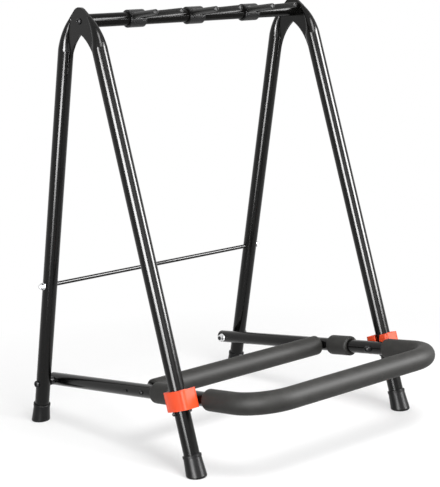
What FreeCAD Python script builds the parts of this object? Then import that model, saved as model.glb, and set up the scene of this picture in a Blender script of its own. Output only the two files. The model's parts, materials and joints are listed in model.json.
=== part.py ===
import FreeCAD, Part
import math
import os

from FreeCAD import Vector

# Three-place guitar rack: two tubular A-frames, a top bar with neck yokes, and a padded tray that
# folds up about the rear legs. Millimetres, +Z up, front towards -Y, origin on the floor in the middle.

# Side frames
FRAME_SPACING = 500.0
FOOT_SPREAD = 496.0
LEG_TOP_SPREAD = 105.8
LEG_D = 28.0
TUBE_WALL = 1.5
LEG_BEND_DROP = 48.0
LEG_TIP_D = 8.0
LEG_BOTTOM_LIFT = 7.0

# Gusset plates
GUSSET_THICKNESS = 5.0
APEX_RADIUS = 24.0
SHOULDER_LEAN = 53.9
SHOULDER_SINK = 0.5
ARCH_DROP = 22.0
ARCH_FOOT_DROP = 68.0
ARCH_BULGE = 5.2
ARCH_TAIL_DROP = 103.0
ARCH_TAIL_WIDTH = 4.4
ARCH_TAIL_SINK = 0.6

# Rubber feet
FOOT_HEIGHT = 37.0
FOOT_TOP_D = 31.5
FOOT_BOTTOM_D = 36.5
FOOT_LIP_HEIGHT = 5.0
FOOT_LIP_STEP = 0.8
FOOT_RIM_RADIUS = 3.0

# Top bar and tie rod
BAR_HEIGHT = 768.0
BAR_D = 24.0
BAR_PLUG_LENGTH = 24.0
BAR_SCREW_D = 6.0
BAR_SCREW_HEAD_D = 11.0
BAR_SCREW_LENGTH = 20.0
TIE_ROD_HEIGHT = 281.0
TIE_ROD_D = 8.0
TIE_NUT_FLATS = 11.0
TIE_NUT_HEIGHT = 5.0
TIE_WASHER_D = 14.0

# Neck yokes on the top bar
YOKE_PITCH = 134.0
YOKE_SLEEVE_D = 32.0
YOKE_SLEEVE_LENGTH = 35.0
YOKE_SLEEVE_EDGE = 1.2
PRONG_ROOT_SPREAD = 23.0
PRONG_TIP_SPREAD = 57.0
PRONG_TIP_REACH = 104.0
PRONG_ROOT_RISE = 5.0
PRONG_TIP_RISE = 8.0
PRONG_ROD_D = 6.0
PRONG_ROOT_D = 11.0
PRONG_TIP_D = 9.8
PRONG_TIP_RADIUS = 2.0
PRONG_TIP_RECESS = 1.5
PRONG_SOCKET_D = 12.4
PRONG_SOCKET_LENGTH = 8.0
CLAMP_SCREW_D = 3.0
CLAMP_HEAD_D = 5.0
CLAMP_SPREAD = 21.2
CLAMP_SINK = 0.6
CLAMP_ANGLE = 19.0

# Folding tray, measured along its side tubes from the pivot bolts
PIVOT_HEIGHT = 80.0
TRAY_TILT = 5.61
TRAY_TUBE_D = 25.0
TRAY_INSET = 34.0
TRAY_REACH = 612.7
TRAY_CORNER_RADIUS = 67.0
TRAY_TAIL = 16.0
RAIL_REACH = 299.7
RAIL_STEP = 45.0
FOAM_D = 38.0
FOAM_END_RADIUS = 4.0
SLEEVE_RAIL_GAP = 12.3
SLEEVE_LOCK_GAP = 58.0
FRONT_FOAM_GAP = 37.0
PLUG_LENGTH = 18.0
PLUG_DOME = 3.0

# Tray fasteners
PIVOT_BOLT_D = 8.0
PIVOT_HEAD_D = 14.0
PIVOT_NUT_FLATS = 13.0
PIVOT_NUT_HEIGHT = 6.5
PIVOT_WASHER_D = 17.0
PIVOT_SPACER_D = 16.0
RAIL_SCREW_D = 5.0
RAIL_SCREW_HEAD_D = 9.0
LOCK_STUD_D = 6.0
LOCK_HEAD_D = 12.0
LOCK_HEAD_HEIGHT = 2.4
LOCK_NUT_D = 13.0
LOCK_NUT_HEIGHT = 6.2
LOCK_NUT_BORE = 4.4
WASHER_THICKNESS = 1.2

# Shares of a fastener's own size
SCREW_HEAD_RATIO = 0.34
SOCKET_RATIO = 0.45
HEAD_SIDE_RATIO = 0.33
HEAD_CROWN_REACH = 0.72
HEAD_CROWN_RISE = 0.86
NUT_NARROW_RATIO = 0.54
NUT_WIDE_RATIO = 0.8
NUT_CAP_RATIO = 0.94

# Locking collars on the front legs
COLLAR_HEIGHT = 34.0
COLLAR_RISE = 3.7
COLLAR_WALL = 3.0
COLLAR_HALF_LENGTH = 29.0
COLLAR_CORNER = 8.0
COLLAR_BOW = 5.0
COLLAR_HEAD_ROOM = 3.6
COLLAR_LEG_GAP = 0.6
RIB_GAP = 0.3
RIB_REACH = 8.0
SLOT_GAP = 0.5
SLOT_FLARE_FRONT = 8.0
SLOT_FLARE_REAR = 1.5
STOP_PIN_D = 7.0
STOP_PIN_LENGTH = 41.0

# Sections of a leg's top bend
BEND_STEPS = 6

# Clearances
FIT = 0.05
RUNNING_FIT = 0.08
HOLE_GAP = 0.15
WELD_GAP = 0.05
SEAT_GAP = 0.05
SIDE_GAP = 0.3

# Places worked out from the driving dimensions
TILT = math.atan2((FOOT_SPREAD - LEG_TOP_SPREAD) / 2, BAR_HEIGHT - LEG_BEND_DROP)
LEG_TILT = math.degrees(TILT)
SHOULDER = math.radians(SHOULDER_LEAN)
TRAY_ANGLE = math.radians(TRAY_TILT)
SIDE_X = FRAME_SPACING / 2
LEG_R = LEG_D / 2
BAR_R = BAR_D / 2
TRAY_R = TRAY_TUBE_D / 2
FOAM_R = FOAM_D / 2
ARM_X = SIDE_X - TRAY_INSET
OUTER_FACE_X = SIDE_X + LEG_R
LEG_TOE_Y = FOOT_SPREAD / 2
CROSS_REACH = ((2 * LEG_TOE_Y - 2 * PIVOT_HEIGHT * math.tan(TILT))
               / (math.cos(TRAY_ANGLE) + math.sin(TRAY_ANGLE) * math.tan(TILT)))
SIDES = (("left", -1), ("right", 1))
ENDS = (("front", -1), ("rear", 1))
X_AXIS = Vector(1, 0, 0)
Y_AXIS = Vector(0, 1, 0)
Z_AXIS = Vector(0, 0, 1)
ORIGIN = Vector(0, 0, 0)


def leg_y(height):
    """Distance of a leg's axis from the middle plane at a height on its straight part."""
    return LEG_TOE_Y - height * math.tan(TILT)


PIVOT = Vector(0, leg_y(PIVOT_HEIGHT), PIVOT_HEIGHT)
FRONT_Y = PIVOT.y - TRAY_REACH * math.cos(TRAY_ANGLE) - FOAM_R
RIM_REACH = FOOT_RIM_RADIUS * (1 - math.tan(TILT) - 1 / math.cos(TILT))
REAR_Y = LEG_TOE_Y + FOOT_BOTTOM_D / 2 / math.cos(TILT) + RIM_REACH
TO_ORIGIN = Vector(0, -(FRONT_Y + REAR_Y) / 2, 0)


def export(name, shape):
    """Write one piece as its own file, moved so that the origin lies in the middle of the outline."""
    os.makedirs("parts", exist_ok=True)
    placed = shape.copy()
    placed.translate(TO_ORIGIN)
    placed.exportStep(os.path.join("parts", name + ".step"))


def rod(start, axis, length, diameter):
    """Round bar from a point along an axis."""
    return Part.makeCylinder(diameter / 2, length, start, axis)


def mirrored(shape):
    """The same piece on the other side of the middle plane X = 0."""
    return shape.mirror(ORIGIN, X_AXIS)


def pipe(path, radius):
    """Solid of a circle swept along a tangent path of edges."""
    wire = Part.Wire(path)
    start = wire.OrderedEdges[0]
    first = start.FirstParameter
    circle = Part.makeCircle(radius, start.valueAt(first), start.tangentAt(first))
    return wire.makePipeShell([Part.Wire(circle)], True, False)


def tube(path, diameter, bore):
    """Hollow tube along a path."""
    return pipe(path, diameter / 2).cut(pipe(path, bore / 2))


def dome_head(diameter, height):
    """Domed round head standing on the XY plane, with a hexagon socket."""
    radius = diameter / 2
    shoulder = Vector(radius, 0, height * HEAD_SIDE_RATIO)
    crown = Vector(radius * HEAD_CROWN_REACH, 0, height * HEAD_CROWN_RISE)
    arc = Part.Arc(shoulder, crown, Vector(0, 0, height)).toShape()
    outline = [Part.makeLine(ORIGIN, Vector(radius, 0, 0)), Part.makeLine(Vector(radius, 0, 0), shoulder),
               arc, Part.makeLine(Vector(0, 0, height), ORIGIN)]
    head = Part.Face(Part.Wire(outline)).revolve(ORIGIN, Z_AXIS, 360)
    socket = hexagon(diameter * SOCKET_RATIO, height)
    socket.translate(Vector(0, 0, height / 2))
    return head.cut(socket)


def hexagon(flats, height):
    """Hexagonal prism on the XY plane, sized across its flats."""
    corner = flats / math.sqrt(3)
    points = [Vector(corner * math.cos(math.radians(60 * i)), corner * math.sin(math.radians(60 * i)), 0)
              for i in range(7)]
    return Part.Face(Part.makePolygon(points)).extrude(Vector(0, 0, height))


def cap_nut(flats, height, bore):
    """Acorn nut on the XY plane: a hexagon with a round cap over a blind bore."""
    dome_r = flats / 2 * NUT_CAP_RATIO
    chamfer = Part.makeCone(flats * NUT_NARROW_RATIO, flats * NUT_WIDE_RATIO, height, ORIGIN, Z_AXIS)
    body = hexagon(flats, height).common(chamfer)
    dome = Part.makeSphere(dome_r, Vector(0, 0, height)).common(
        Part.makeCylinder(flats, flats, Vector(0, 0, height / 2), Z_AXIS))
    return body.fuse(dome).removeSplitter().cut(rod(ORIGIN, Z_AXIS, height + dome_r / 2, bore))


def washer(diameter, bore):
    """Flat washer on the XY plane."""
    return rod(ORIGIN, Z_AXIS, WASHER_THICKNESS, diameter).cut(rod(ORIGIN, Z_AXIS, WASHER_THICKNESS, bore))


def along_x(shape, place, direction):
    """Turn a piece that stands on the XY plane so that it points along +X or -X, at a place."""
    turned = shape.copy()
    turned.rotate(ORIGIN, Y_AXIS, 90 * direction)
    turned.translate(place)
    return turned


def tray_place(shape):
    """Move a piece from the tray's own flat frame, with the pivot at zero, to its rest position."""
    placed = shape.copy()
    placed.rotate(ORIGIN, X_AXIS, -TRAY_TILT)
    placed.translate(PIVOT)
    return placed


def tray_point(x, reach):
    """A point on the tray's mid plane at a distance from the pivot, at rest."""
    return Vector(x, PIVOT.y - reach * math.cos(TRAY_ANGLE), PIVOT.z + reach * math.sin(TRAY_ANGLE))


def lean_out(tilt):
    """Unit direction square to a leg that tilts by an angle, pointing away from the middle."""
    return Vector(0, math.cos(tilt), math.sin(tilt))


def leg_bend():
    """Start of a left rear leg's top bend on its axis, and the radius that leads onto the shoulder line."""
    height = BAR_HEIGHT - LEG_BEND_DROP
    start = Vector(-SIDE_X, leg_y(height), height)
    outside = start + lean_out(TILT) * LEG_R - Vector(-SIDE_X, 0, BAR_HEIGHT)
    run = (APEX_RADIUS - lean_out(SHOULDER).dot(outside)) / math.sin(SHOULDER - TILT)
    return start, run / math.tan((SHOULDER - TILT) / 2) - LEG_R


def bend_section(share):
    """Middle, radius and tilt of a left rear leg at a share of its top bend; the outside keeps to one arc."""
    start, bend_r = leg_bend()
    tilt = TILT + (SHOULDER - TILT) * share
    radius = LEG_R + (LEG_TIP_D / 2 - LEG_R) * share
    centre = start - lean_out(TILT) * bend_r
    return centre + lean_out(tilt) * (bend_r + LEG_R - radius), radius, tilt


def drawn_bend(gap):
    """Solid of a left rear leg's top bend, drawn in towards its tip, grown by a gap."""
    rings = []
    for step in range(BEND_STEPS + 1):
        middle, radius, tilt = bend_section(step / BEND_STEPS)
        ring = Part.makeCircle(radius + gap)
        ring.rotate(ORIGIN, X_AXIS, math.degrees(tilt))
        ring.translate(middle)
        rings.append(Part.Wire(ring))
    return Part.makeLoft(rings, True)


def straight_leg(radius):
    """Round bar along the straight part of a left rear leg."""
    bottom = Vector(-SIDE_X, leg_y(LEG_BOTTOM_LIFT), LEG_BOTTOM_LIFT)
    run = leg_bend()[0] - bottom
    return Part.makeCylinder(radius, run.Length, bottom, run)


def solid_leg(gap):
    """Outside form of a left rear leg, drawn in round its top bend to a rounded tip, grown by a gap."""
    tip, radius, tilt = bend_section(1)
    ball = Part.makeSphere(radius + gap, tip)
    return straight_leg(LEG_R + gap).fuse([drawn_bend(gap), ball]).removeSplitter()


def make_leg(is_front):
    """Left leg tube with its bores; a front leg is the rear one turned about the middle."""
    leg = solid_leg(0).cut(straight_leg(LEG_R - TUBE_WALL)).cut(drawn_bend(-TUBE_WALL))
    if is_front:
        leg = leg.mirror(ORIGIN, Y_AXIS)
        start = stop_pin_middle() - X_AXIS * LEG_D
        leg = leg.cut(rod(start, X_AXIS, 2 * LEG_D, STOP_PIN_D + 2 * HOLE_GAP))
    else:
        for height, diameter in ((TIE_ROD_HEIGHT, TIE_ROD_D), (PIVOT_HEIGHT, PIVOT_BOLT_D)):
            start = Vector(-SIDE_X - LEG_D, leg_y(height), height)
            leg = leg.cut(rod(start, X_AXIS, 2 * LEG_D, diameter + 2 * HOLE_GAP))
    return leg


def make_gusset():
    """Left gusset plate: rounded apex, sides that run into the legs, pointed arch below."""
    def point(y, drop):
        return Vector(-SIDE_X - GUSSET_THICKNESS / 2, y, BAR_HEIGHT - drop)
    tip, tip_r, tilt = bend_section(1)
    in_leg = bend_section(1 / 2)[0]
    shoulder = (APEX_RADIUS * math.cos(SHOULDER), -APEX_RADIUS * math.sin(SHOULDER))
    brow = tip + lean_out(tilt) * (tip_r - SHOULDER_SINK)

    def inner_face(drop):
        return leg_y(BAR_HEIGHT - drop) - LEG_R / math.cos(TILT)
    foot_y = inner_face(ARCH_FOOT_DROP) - ARCH_TAIL_WIDTH
    tail_y = inner_face(ARCH_TAIL_DROP) + ARCH_TAIL_SINK
    chord = math.hypot(foot_y, ARCH_FOOT_DROP - ARCH_DROP)
    mid_y = foot_y / 2 + ARCH_BULGE * (ARCH_FOOT_DROP - ARCH_DROP) / chord
    mid_drop = (ARCH_DROP + ARCH_FOOT_DROP) / 2 - ARCH_BULGE * foot_y / chord
    apex = Part.Arc(point(-shoulder[0], shoulder[1]), point(0, -APEX_RADIUS), point(*shoulder)).toShape()
    edges = [apex]
    for side in (1, -1):
        rim = [point(side * shoulder[0], shoulder[1]), point(side * brow.y, BAR_HEIGHT - brow.z),
               point(side * in_leg.y, BAR_HEIGHT - in_leg.z),
               point(side * leg_y(BAR_HEIGHT - LEG_BEND_DROP), LEG_BEND_DROP),
               point(side * tail_y, ARCH_TAIL_DROP), point(side * foot_y, ARCH_FOOT_DROP)]
        edges += [Part.makeLine(a, b) for a, b in zip(rim, rim[1:])]
        edges.append(Part.Arc(rim[-1], point(side * mid_y, mid_drop), point(0, ARCH_DROP)).toShape())
    plate = Part.Face(Part.Wire(Part.__sortEdges__(edges))).extrude(X_AXIS * GUSSET_THICKNESS)
    outside = solid_leg(WELD_GAP)
    plate = plate.cut(outside).cut(outside.mirror(ORIGIN, Y_AXIS))
    plate = max(plate.Solids, key=lambda solid: solid.Volume)
    hole = rod(Vector(-SIDE_X - LEG_D, 0, BAR_HEIGHT), X_AXIS, 2 * LEG_D, BAR_SCREW_D + 2 * HOLE_GAP)
    return plate.cut(hole)


def make_foot():
    """Left rear rubber foot: a flared cup along the leg, cut level with the floor."""
    top = FOOT_HEIGHT / math.cos(TILT)
    below = -FOOT_BOTTOM_D / 2
    top_r = FOOT_TOP_D / 2
    lip_z = top - FOOT_LIP_HEIGHT
    corners = [Vector(0, 0, below), Vector(FOOT_BOTTOM_D / 2, 0, below), Vector(FOOT_BOTTOM_D / 2, 0, 0),
               Vector(top_r, 0, lip_z), Vector(top_r + FOOT_LIP_STEP, 0, lip_z),
               Vector(top_r + FOOT_LIP_STEP, 0, top - FOOT_LIP_STEP), Vector(top_r, 0, top), Vector(0, 0, top)]
    cup = Part.Face(Part.makePolygon(corners + corners[:1])).revolve(ORIGIN, Z_AXIS, 360)
    cup.rotate(ORIGIN, X_AXIS, LEG_TILT)
    cup.translate(Vector(-SIDE_X, LEG_TOE_Y, 0))
    floor = Part.makeBox(4 * FOOT_BOTTOM_D, 4 * FOOT_BOTTOM_D, FOOT_BOTTOM_D,
                         Vector(-SIDE_X - 2 * FOOT_BOTTOM_D, LEG_TOE_Y - 2 * FOOT_BOTTOM_D, -FOOT_BOTTOM_D))
    cup = cup.cut(floor)
    rim = [edge for edge in cup.Edges if edge.BoundBox.ZMax < FIT and edge.Length > FOOT_BOTTOM_D]
    cup = cup.makeFillet(FOOT_RIM_RADIUS, rim)
    return cup.cut(straight_leg(LEG_R + FIT))


def bar_screw():
    """Screw that holds a gusset to the left end of the top bar, pointing along +X."""
    head = dome_head(BAR_SCREW_HEAD_D, BAR_SCREW_HEAD_D * SCREW_HEAD_RATIO)
    place = Vector(-SIDE_X - GUSSET_THICKNESS / 2, 0, BAR_HEIGHT)
    shank = rod(place, X_AXIS, BAR_SCREW_LENGTH, BAR_SCREW_D)
    return along_x(head, place, -1).fuse(shank)


def make_top_bar():
    """Tube between the two gussets."""
    length = FRAME_SPACING - GUSSET_THICKNESS
    start = Vector(-length / 2, 0, BAR_HEIGHT)
    return rod(start, X_AXIS, length, BAR_D).cut(rod(start, X_AXIS, length, BAR_D - 2 * TUBE_WALL))


def bar_plug():
    """Threaded plug in the left end of the top bar."""
    start = Vector(-SIDE_X + GUSSET_THICKNESS / 2, 0, BAR_HEIGHT)
    plug = rod(start, X_AXIS, BAR_PLUG_LENGTH, BAR_D - 2 * TUBE_WALL - 2 * FIT)
    return plug.cut(rod(start, X_AXIS, BAR_PLUG_LENGTH, BAR_SCREW_D + 2 * FIT))


def tie_rod_end():
    """Place on the outside of a left rear leg where the tie rod comes out."""
    return Vector(-OUTER_FACE_X - SEAT_GAP, leg_y(TIE_ROD_HEIGHT), TIE_ROD_HEIGHT)


def make_tie_rod():
    """Thin rod through both rear legs, ending inside its cap nuts."""
    end = tie_rod_end() - X_AXIS * (WASHER_THICKNESS + TIE_NUT_HEIGHT)
    return rod(end, X_AXIS, -2 * end.x, TIE_ROD_D)


def make_yoke(x):
    """Pieces of one neck yoke at a place along the bar, as a dictionary of shapes."""
    centre = Vector(x, 0, BAR_HEIGHT)
    start = centre - X_AXIS * (YOKE_SLEEVE_LENGTH / 2)
    sleeve = rod(start, X_AXIS, YOKE_SLEEVE_LENGTH, YOKE_SLEEVE_D)
    rims = [edge for edge in sleeve.Edges if isinstance(edge.Curve, Part.Circle)]
    sleeve = sleeve.makeFillet(YOKE_SLEEVE_EDGE, rims)
    groups = {"prong_rods": [], "prong_grips": [], "clamp_screws": []}
    bores = [rod(start - X_AXIS * YOKE_SLEEVE_D, X_AXIS, 3 * YOKE_SLEEVE_D, BAR_D + 2 * RUNNING_FIT)]
    angle = math.radians(CLAMP_ANGLE)
    out = Vector(0, -math.cos(angle), -math.sin(angle))
    seat_r = YOKE_SLEEVE_D / 2 - CLAMP_SINK
    screw = clamp_screw(seat_r - BAR_R - SIDE_GAP)
    for side in (-1, 1):
        root = centre + Vector(side * PRONG_ROOT_SPREAD / 2, -BAR_R, PRONG_ROOT_RISE)
        tip = centre + Vector(side * PRONG_TIP_SPREAD / 2, -PRONG_TIP_REACH, PRONG_TIP_RISE)
        axis = (tip - root).normalize()
        length = (tip - root).Length
        sleeve = sleeve.fuse(rod(root, axis, PRONG_SOCKET_LENGTH, PRONG_SOCKET_D))
        seat = root + axis * PRONG_SOCKET_LENGTH
        grip = Part.makeCone(PRONG_ROOT_D / 2, PRONG_TIP_D / 2, length - PRONG_SOCKET_LENGTH, seat, axis)
        outer = [edge for edge in grip.Edges if isinstance(edge.Curve, Part.Circle)
                 and (edge.Curve.Center - tip).Length < PRONG_TIP_RADIUS]
        grip = grip.makeFillet(PRONG_TIP_RADIUS, outer)
        core = root + axis * (PRONG_ROD_D / 2)
        bores.append(rod(core, axis, length, PRONG_ROD_D + 2 * FIT))
        groups["prong_grips"].append(grip.cut(bores[-1]))
        groups["prong_rods"].append(rod(core, axis, length - PRONG_ROD_D / 2 - PRONG_TIP_RECESS, PRONG_ROD_D))
        place = centre + X_AXIS * (side * CLAMP_SPREAD / 2)
        bores.append(rod(place, out, YOKE_SLEEVE_D, CLAMP_SCREW_D + 2 * FIT))
        bores.append(rod(place + out * seat_r, out, YOKE_SLEEVE_D, CLAMP_HEAD_D + 2 * FIT))
        fixed = screw.copy()
        fixed.rotate(ORIGIN, X_AXIS, 90 + CLAMP_ANGLE)
        fixed.translate(place + out * seat_r)
        groups["clamp_screws"].append(fixed)
    sleeve = sleeve.removeSplitter()
    for bore in bores:
        sleeve = sleeve.cut(bore)
    pieces = {name: Part.makeCompound(solids) for name, solids in groups.items()}
    pieces["neck_sleeve"] = sleeve
    return pieces


def clamp_screw(length):
    """Small screw with its head standing on the XY plane and its shank below."""
    head = dome_head(CLAMP_HEAD_D, CLAMP_HEAD_D * SCREW_HEAD_RATIO)
    return head.fuse(rod(Vector(0, 0, -length), Z_AXIS, length, CLAMP_SCREW_D))


def tray_path(start_reach):
    """Axis of the tray's front bow in its flat frame, from a reach on the left side round to the right."""
    front = -TRAY_REACH
    turn = TRAY_CORNER_RADIUS
    inset = turn * (1 - math.sqrt(0.5))

    def point(side, x_in, y):
        return Vector(side * (ARM_X - x_in), y, 0)
    edges = []
    for side in (-1, 1):
        arm = Part.makeLine(point(side, 0, -start_reach), point(side, 0, front + turn))
        corner = Part.Arc(point(side, 0, front + turn), point(side, inset, front + inset),
                          point(side, turn, front)).toShape()
        edges.append([arm, corner])
    middle = Part.makeLine(point(-1, turn, front), point(1, turn, front))
    return Part.__sortEdges__(edges[0] + [middle] + edges[1][::-1])


def cross_hole(reach, diameter):
    """Cutter along X through both side tubes at a distance from the pivot, in the flat frame."""
    return rod(Vector(-FRAME_SPACING, -reach, 0), X_AXIS, 2 * FRAME_SPACING, diameter)


def make_tray_tube():
    """Bent tube of the tray: both sides and the front bow."""
    bent = tube(tray_path(-TRAY_TAIL), TRAY_TUBE_D, TRAY_TUBE_D - 2 * TUBE_WALL)
    bent = bent.cut(cross_hole(0, PIVOT_BOLT_D + 2 * RUNNING_FIT))
    bent = bent.cut(cross_hole(CROSS_REACH, LOCK_STUD_D + 2 * FIT))
    for reach in (RAIL_REACH, RAIL_REACH - RAIL_STEP):
        bent = bent.cut(cross_hole(reach, RAIL_SCREW_D + 2 * HOLE_GAP))
    return bent


def tray_plug():
    """Domed plug in the rear end of the left side tube, in the flat frame."""
    end = Vector(-ARM_X, TRAY_TAIL, 0)
    bore_d = TRAY_TUBE_D - 2 * TUBE_WALL - 2 * FIT
    depth = min(PLUG_LENGTH, TRAY_TAIL - PIVOT_BOLT_D)
    spigot = rod(end, -Y_AXIS, depth, bore_d)
    dome_r = (TRAY_R ** 2 + PLUG_DOME ** 2) / (2 * PLUG_DOME)
    ball = Part.makeSphere(dome_r, end + Y_AXIS * (PLUG_DOME - dome_r))
    return ball.common(rod(end, Y_AXIS, PLUG_DOME, TRAY_TUBE_D)).fuse(spigot)


def rail_blank(diameter):
    """Round bar across the tray at the rear rail, ending against the side tubes."""
    span = rod(Vector(-ARM_X, -RAIL_REACH, 0), X_AXIS, 2 * ARM_X, diameter)
    for side in (-1, 1):
        span = span.cut(rod(Vector(side * ARM_X, TRAY_TAIL, 0), -Y_AXIS, TRAY_REACH, TRAY_TUBE_D + 2 * WELD_GAP))
    return span


def make_rear_rail():
    """Tube of the rear rail, coped to the side tubes."""
    return rail_blank(TRAY_TUBE_D).cut(rail_blank(TRAY_TUBE_D - 2 * TUBE_WALL))


def make_rail_plugs():
    """Threaded plugs in both ends of the rear rail."""
    bar = rail_blank(TRAY_TUBE_D - 2 * TUBE_WALL - 2 * FIT)
    middle = 2 * (ARM_X - TRAY_R - PLUG_LENGTH)
    bar = bar.cut(rod(Vector(-middle / 2, -RAIL_REACH, 0), X_AXIS, middle, TRAY_TUBE_D))
    return bar.cut(cross_hole(RAIL_REACH, RAIL_SCREW_D + 2 * FIT))


def rail_screw():
    """Screw through the left side tube into the rear rail, in the flat frame."""
    place = Vector(-ARM_X - TRAY_R - SEAT_GAP, -RAIL_REACH, 0)
    head = along_x(dome_head(RAIL_SCREW_HEAD_D, RAIL_SCREW_HEAD_D * SCREW_HEAD_RATIO), place, -1)
    return head.fuse(rod(place, X_AXIS, TRAY_TUBE_D + PLUG_LENGTH, RAIL_SCREW_D))


def foam(path):
    """Foam sleeve over a tube, with its outer end edges rounded."""
    sleeve = pipe(path, FOAM_R)
    rims = [edge for edge in sleeve.Edges if isinstance(edge.Curve, Part.Circle)
            and abs(edge.Length - math.pi * FOAM_D) < FIT]
    ends = [edge for edge in rims if any(isinstance(face.Surface, Part.Plane)
            for face in sleeve.ancestorsOfType(edge, Part.Face))]
    return sleeve.makeFillet(FOAM_END_RADIUS, ends).cut(pipe(path, TRAY_R + FIT))


def straight_foam(start, end):
    """Straight foam sleeve between two points."""
    return foam([Part.makeLine(start, end)])


def lock_stud():
    """Headed stud through the left side tube; its head sits inside the locking collar."""
    head_x = -SIDE_X + LEG_R + COLLAR_HEAD_ROOM - (COLLAR_HEAD_ROOM - LOCK_HEAD_HEIGHT) / 2
    end_x = -ARM_X + TRAY_R + SEAT_GAP + WASHER_THICKNESS + LOCK_NUT_BORE
    place = Vector(head_x, -CROSS_REACH, 0)
    head = rod(place - X_AXIS * LOCK_HEAD_HEIGHT, X_AXIS, LOCK_HEAD_HEIGHT, LOCK_HEAD_D)
    return head.fuse(rod(place, X_AXIS, end_x - head_x, LOCK_STUD_D))


def lock_nut():
    """Washer and domed nut on the inside of the left side tube, in the flat frame."""
    place = Vector(-ARM_X + TRAY_R + SEAT_GAP, -CROSS_REACH, 0)
    disc = along_x(washer(LOCK_NUT_D + WASHER_THICKNESS, LOCK_STUD_D + 2 * FIT), place, 1)
    nut = dome_head(LOCK_NUT_D, LOCK_NUT_HEIGHT)
    nut = nut.cut(rod(ORIGIN, Z_AXIS, LOCK_NUT_BORE + FIT, LOCK_STUD_D + 2 * FIT))
    return disc, along_x(nut, place + X_AXIS * WASHER_THICKNESS, 1)


def pivot_parts():
    """Bolt, spacer, washer and nut of the left tray pivot."""
    outside = Vector(-OUTER_FACE_X - SEAT_GAP, PIVOT.y, PIVOT.z)
    inside = Vector(-ARM_X + TRAY_R + SIDE_GAP, PIVOT.y, PIVOT.z)
    head = along_x(dome_head(PIVOT_HEAD_D, PIVOT_HEAD_D * SCREW_HEAD_RATIO), outside, -1)
    nut_end = inside.x + WASHER_THICKNESS + PIVOT_NUT_HEIGHT
    bolt = head.fuse(rod(outside, X_AXIS, nut_end + WASHER_THICKNESS - outside.x, PIVOT_BOLT_D))
    space_start = Vector(-SIDE_X + LEG_R + SEAT_GAP, PIVOT.y, PIVOT.z)
    space_end_x = -ARM_X - TRAY_R - SIDE_GAP
    bush = rod(space_start, X_AXIS, space_end_x - space_start.x, PIVOT_SPACER_D)
    bush = bush.cut(rod(space_start, X_AXIS, TRAY_INSET, PIVOT_BOLT_D + 2 * FIT))
    disc = along_x(washer(PIVOT_WASHER_D, PIVOT_BOLT_D + 2 * FIT), inside, 1)
    nut = hexagon(PIVOT_NUT_FLATS, PIVOT_NUT_HEIGHT)
    nut = nut.common(Part.makeCone(PIVOT_NUT_FLATS * NUT_WIDE_RATIO, PIVOT_NUT_FLATS * NUT_NARROW_RATIO,
                                   PIVOT_NUT_HEIGHT))
    nut = nut.cut(rod(ORIGIN, Z_AXIS, PIVOT_NUT_HEIGHT, PIVOT_BOLT_D + 2 * FIT))
    return {"pivot_bolts": bolt, "pivot_spacers": bush, "pivot_washers": disc,
            "pivot_nuts": along_x(nut, inside + X_AXIS * WASHER_THICKNESS, 1)}


def collar_place(shape):
    """Move a piece from the left front leg's own frame, centred on the tray crossing, to its place."""
    placed = shape.copy()
    placed.rotate(ORIGIN, X_AXIS, -LEG_TILT)
    placed.translate(tray_point(-SIDE_X, CROSS_REACH))
    return placed


def collar_outline():
    """Closed outline of the collar round the leg: bowed outside, flat towards the tray."""
    inner_x = LEG_R + COLLAR_HEAD_ROOM + COLLAR_WALL
    outer_x = -LEG_R - COLLAR_LEG_GAP - COLLAR_WALL
    half = COLLAR_HALF_LENGTH
    corner = COLLAR_CORNER
    cut = corner * (1 - math.sqrt(0.5))
    edges = [Part.makeLine(Vector(inner_x, corner - half, 0), Vector(inner_x, half - corner, 0))]
    for side in (1, -1):
        edges.append(Part.Arc(Vector(inner_x, side * (half - corner), 0),
                              Vector(inner_x - cut, side * (half - cut), 0),
                              Vector(inner_x - corner, side * half, 0)).toShape())
        edges.append(Part.makeLine(Vector(inner_x - corner, side * half, 0),
                                   Vector(outer_x + COLLAR_BOW + corner, side * half, 0)))
        edges.append(Part.Arc(Vector(outer_x + COLLAR_BOW + corner, side * half, 0),
                              Vector(outer_x + COLLAR_BOW + cut, side * (half - cut), 0),
                              Vector(outer_x + COLLAR_BOW, side * (half - corner), 0)).toShape())
    edges.append(Part.Arc(Vector(outer_x + COLLAR_BOW, half - corner, 0), Vector(outer_x, 0, 0),
                          Vector(outer_x + COLLAR_BOW, corner - half, 0)).toShape())
    return Part.Face(Part.Wire(Part.__sortEdges__(edges)))


def make_collar():
    """Left locking collar: an oval shell with two ribs that hold the leg and a slot for the tray stud."""
    bottom = COLLAR_RISE - COLLAR_HEIGHT / 2
    top = COLLAR_RISE + COLLAR_HEIGHT / 2
    outside = collar_outline()
    up = Vector(0, 0, COLLAR_HEIGHT)
    cavity = outside.makeOffset2D(-COLLAR_WALL).extrude(up)
    shell = outside.extrude(up).cut(cavity)
    rib_y = LEG_R + RIB_GAP
    for side in (-1, 1):
        rib = Part.makeBox(FRAME_SPACING, COLLAR_WALL, COLLAR_HEIGHT,
                           Vector(RIB_REACH - FRAME_SPACING, side * (rib_y + COLLAR_WALL / 2) - COLLAR_WALL / 2, 0))
        shell = shell.fuse(rib.common(outside.extrude(up)))
    shell = shell.removeSplitter()
    shell.translate(Vector(0, 0, bottom))
    slot_r = LOCK_STUD_D / 2 + SLOT_GAP
    near_x = LEG_R + COLLAR_HEAD_ROOM / 2
    through = Vector(COLLAR_HEAD_ROOM + COLLAR_WALL, 0, 0)
    sides = [Vector(near_x, slot_r, 0), Vector(near_x, slot_r + SLOT_FLARE_REAR, top),
             Vector(near_x, -slot_r - SLOT_FLARE_FRONT, top), Vector(near_x, -slot_r, 0)]
    slot = Part.Face(Part.makePolygon(sides + sides[:1])).extrude(through)
    return collar_place(shell.cut(slot).cut(rod(Vector(near_x, 0, 0), X_AXIS, through.x, 2 * slot_r)))


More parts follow.
